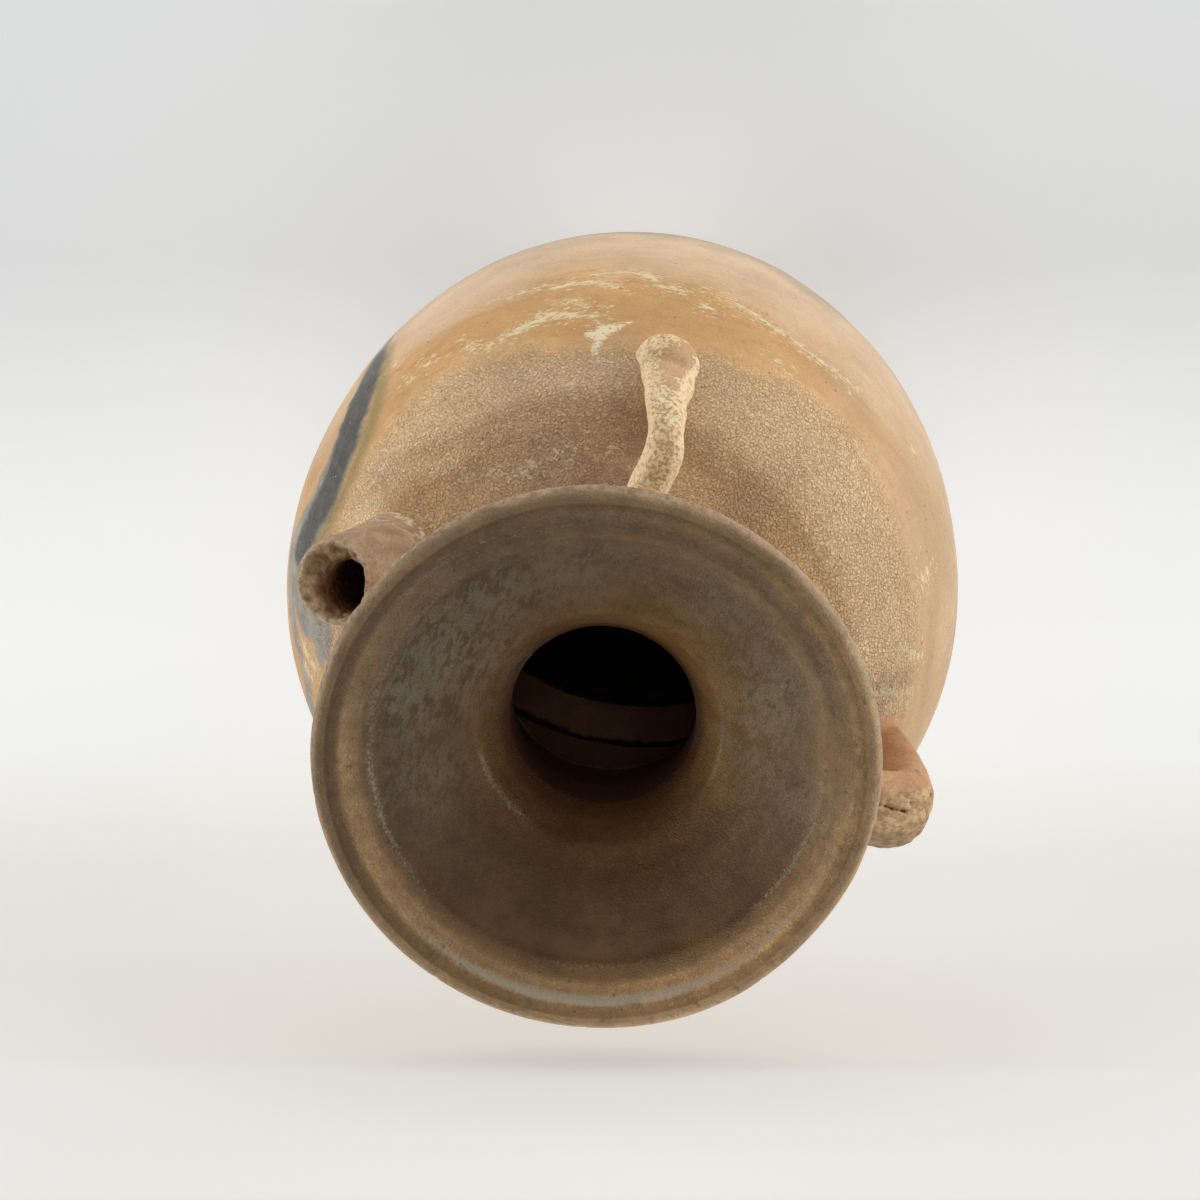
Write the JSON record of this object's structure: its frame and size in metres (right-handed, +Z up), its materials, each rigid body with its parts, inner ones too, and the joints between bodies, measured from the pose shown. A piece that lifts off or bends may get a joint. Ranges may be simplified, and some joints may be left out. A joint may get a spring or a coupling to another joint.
{
  "type": "stoneware ewer",
  "caption": "Ovoid stoneware ewer with a wide dish mouth, a short shoulder spout, a strap handle opposite it and a pair of cord lugs; glazed, stands on a flat foot.",
  "frame": {"origin": "centre of the foot's underside, on the surface that the ewer stands on", "axes": "+Z up the ewer's axis, out of its mouth; +X towards the spout"},
  "size_m": [0.1536, 0.1536, 0.228],
  "materials": {
    "body_glaze": "worn pinkish-tan and ochre ash glaze with fine speckle, a cream fleck line and blue-black and green painted loops",
    "mouth_glaze": "grey-brown satin glaze with a bluish film, wear rings, pits and an orange-brown lower wall",
    "spout_glaze": "grey-brown glaze worn to a rough dark pitted face at the tip",
    "handle_glaze": "orange-brown satin glaze with folds in the clay and pale scratches",
    "lug_glaze": "worn cream coating over brown-pink stoneware"
  },
  "bodies": {
    "root": {"body": "body_glaze", "neck_and_mouth": "mouth_glaze", "spout": "spout_glaze", "handle": "handle_glaze", "front_lug": "lug_glaze", "back_lug": "lug_glaze"}
  },
  "joints": []
}
